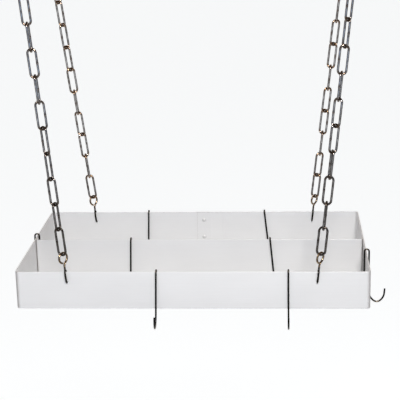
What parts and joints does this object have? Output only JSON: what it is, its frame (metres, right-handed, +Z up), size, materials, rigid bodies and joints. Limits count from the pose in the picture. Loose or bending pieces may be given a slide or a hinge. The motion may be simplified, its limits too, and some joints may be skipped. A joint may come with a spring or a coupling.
{
  "type": "hanging pot rack",
  "caption": "Rectangular strip-metal rack with a bar across its middle, hung level on chains from ceiling screw hooks, with loose hooks for pans along its edges.",
  "frame": {"origin": "on the ceiling's face, in the middle of the four ceiling screws", "axes": "+X along the rack's length to the right, +Y from front to back, +Z up into the ceiling"},
  "size_m": [0.6796, 0.404, 0.7202],
  "materials": {
    "rack_strip": "satin, fine lengthwise brushing",
    "rivets": "satin",
    "chain_links": "bright plated wire with dark reflections",
    "s_hook_wire": "bright plated wire",
    "ceiling_hook_wire": "bright plated wire",
    "pot_hook_wire": "dark polished wire"
  },
  "bodies": {
    "ceiling_hooks": {"ceiling_hook_front_left": "ceiling_hook_wire", "ceiling_hook_front_right": "ceiling_hook_wire", "ceiling_hook_rear_left": "ceiling_hook_wire", "ceiling_hook_rear_right": "ceiling_hook_wire"},
    "top_link_front_left": {"top_link_front_left": "chain_links"},
    "chain_front_left": {"chain_front_left": "chain_links"},
    "s_hook_front_left": {"s_hook_front_left": "s_hook_wire"},
    "top_link_front_right": {"top_link_front_right": "chain_links"},
    "chain_front_right": {"chain_front_right": "chain_links"},
    "s_hook_front_right": {"s_hook_front_right": "s_hook_wire"},
    "top_link_rear_left": {"top_link_rear_left": "chain_links"},
    "chain_rear_left": {"chain_rear_left": "chain_links"},
    "s_hook_rear_left": {"s_hook_rear_left": "s_hook_wire"},
    "top_link_rear_right": {"top_link_rear_right": "chain_links"},
    "chain_rear_right": {"chain_rear_right": "chain_links"},
    "s_hook_rear_right": {"s_hook_rear_right": "s_hook_wire"},
    "rack": {"perimeter_strip": "rack_strip", "middle_bar": "rack_strip", "seam_rivets": "rivets", "middle_bar_rivets": "rivets"},
    "pot_hook_front_left": {"pot_hook_front_left": "pot_hook_wire"},
    "pot_hook_front_right": {"pot_hook_front_right": "pot_hook_wire"},
    "pot_hook_middle_left": {"pot_hook_middle_left": "pot_hook_wire"},
    "pot_hook_middle_right": {"pot_hook_middle_right": "pot_hook_wire"},
    "pot_hook_back_left": {"pot_hook_back_left": "pot_hook_wire"},
    "pot_hook_back_right": {"pot_hook_back_right": "pot_hook_wire"},
    "pot_hook_side_left": {"pot_hook_side_left": "pot_hook_wire"},
    "pot_hook_side_right": {"pot_hook_side_right": "pot_hook_wire"}
  },
  "joints": [
    {"name": "side_swing", "type": "hinge", "parent": "ceiling_hooks", "child": "top_link_front_left", "pos_m": [-0.27715, -0.13955, -0.042], "axis": [0, 1, 0], "range_deg": [-3, 3]},
    {"name": "front_swing", "type": "hinge", "parent": "top_link_front_left", "child": "chain_front_left", "pos_m": [-0.27243, -0.14284, -0.08481], "axis": [1, 0, 0], "range_deg": [-5, 5]},
    {"name": "s_hook_swing_front_left", "type": "hinge", "parent": "chain_front_left", "child": "s_hook_front_left", "pos_m": [-0.21983, -0.1795, -0.56122], "axis": [1, 0, 0], "range_deg": [-3.98, 3.98]},
    {"name": "side_swing_front_right", "type": "hinge", "parent": "ceiling_hooks", "child": "top_link_front_right", "pos_m": [0.27715, -0.13955, -0.042], "axis": [0, 1, 0], "range_deg": [-3, 3]},
    {"name": "front_swing_front_right", "type": "hinge", "parent": "top_link_front_right", "child": "chain_front_right", "pos_m": [0.27243, -0.14284, -0.08481], "axis": [1, 0, 0], "range_deg": [-5, 5]},
    {"name": "s_hook_swing_front_right", "type": "hinge", "parent": "chain_front_right", "child": "s_hook_front_right", "pos_m": [0.21983, -0.1795, -0.56122], "axis": [1, 0, 0], "range_deg": [-3.98, 3.98]},
    {"name": "side_swing_rear_left", "type": "hinge", "parent": "ceiling_hooks", "child": "top_link_rear_left", "pos_m": [-0.27715, 0.13955, -0.042], "axis": [0, 1, 0], "range_deg": [-3, 3]},
    {"name": "front_swing_rear_left", "type": "hinge", "parent": "top_link_rear_left", "child": "chain_rear_left", "pos_m": [-0.27243, 0.14284, -0.08481], "axis": [1, 0, 0], "range_deg": [-5, 5]},
    {"name": "s_hook_swing_rear_left", "type": "hinge", "parent": "chain_rear_left", "child": "s_hook_rear_left", "pos_m": [-0.21983, 0.1795, -0.56122], "axis": [1, 0, 0], "range_deg": [-3.98, 3.98]},
    {"name": "side_swing_rear_right", "type": "hinge", "parent": "ceiling_hooks", "child": "top_link_rear_right", "pos_m": [0.27715, 0.13955, -0.042], "axis": [0, 1, 0], "range_deg": [-3, 3]},
    {"name": "front_swing_rear_right", "type": "hinge", "parent": "top_link_rear_right", "child": "chain_rear_right", "pos_m": [0.27243, 0.14284, -0.08481], "axis": [1, 0, 0], "range_deg": [-5, 5]},
    {"name": "s_hook_swing_rear_right", "type": "hinge", "parent": "chain_rear_right", "child": "s_hook_rear_right", "pos_m": [0.21983, 0.1795, -0.56122], "axis": [1, 0, 0], "range_deg": [-3.98, 3.98]},
    {"name": "rack_level", "type": "hinge", "parent": "s_hook_front_left", "child": "rack", "pos_m": [-0.2144, -0.1795, -0.61042], "axis": [0, 1, 0], "range_deg": [-3.88, 3.88]},
    {"name": "slide_pot_hook_front_left", "type": "slide", "parent": "rack", "child": "pot_hook_front_left", "axis": [1, 0, 0], "range_m": [-0.14, 0.06]},
    {"name": "slide_pot_hook_front_right", "type": "slide", "parent": "rack", "child": "pot_hook_front_right", "axis": [1, 0, 0], "range_m": [-0.1455, 0.0345]},
    {"name": "slide_pot_hook_middle_left", "type": "slide", "parent": "rack", "child": "pot_hook_middle_left", "axis": [1, 0, 0], "range_m": [-0.156, 0.119]},
    {"name": "slide_pot_hook_middle_right", "type": "slide", "parent": "rack", "child": "pot_hook_middle_right", "axis": [1, 0, 0], "range_m": [-0.1185, 0.1465]},
    {"name": "slide_pot_hook_back_left", "type": "slide", "parent": "rack", "child": "pot_hook_back_left", "axis": [1, 0, 0], "range_m": [-0.091, 0.087]},
    {"name": "slide_pot_hook_back_right", "type": "slide", "parent": "rack", "child": "pot_hook_back_right", "axis": [1, 0, 0], "range_m": [-0.077, 0.079]},
    {"name": "slide_pot_hook_side_left", "type": "slide", "parent": "rack", "child": "pot_hook_side_left", "axis": [0, 1, 0], "range_m": [-0.008, 0.133]},
    {"name": "slide_pot_hook_side_right", "type": "slide", "parent": "rack", "child": "pot_hook_side_right", "axis": [0, 1, 0], "range_m": [-0.091, 0.061]}
  ],
  "couplings": [
    {"joint": "s_hook_swing_front_left", "follows": "front_swing", "ratio": -0.7958},
    {"joint": "side_swing_front_right", "follows": "side_swing", "ratio": 1},
    {"joint": "front_swing_front_right", "follows": "front_swing", "ratio": 1},
    {"joint": "s_hook_swing_front_right", "follows": "front_swing", "ratio": -0.7958},
    {"joint": "side_swing_rear_left", "follows": "side_swing", "ratio": 1},
    {"joint": "front_swing_rear_left", "follows": "front_swing", "ratio": 1},
    {"joint": "s_hook_swing_rear_left", "follows": "front_swing", "ratio": -0.7958},
    {"joint": "side_swing_rear_right", "follows": "side_swing", "ratio": 1},
    {"joint": "front_swing_rear_right", "follows": "front_swing", "ratio": 1},
    {"joint": "s_hook_swing_rear_right", "follows": "front_swing", "ratio": -0.7958},
    {"joint": "rack_level", "follows": "side_swing", "ratio": -1.2927}
  ]
}
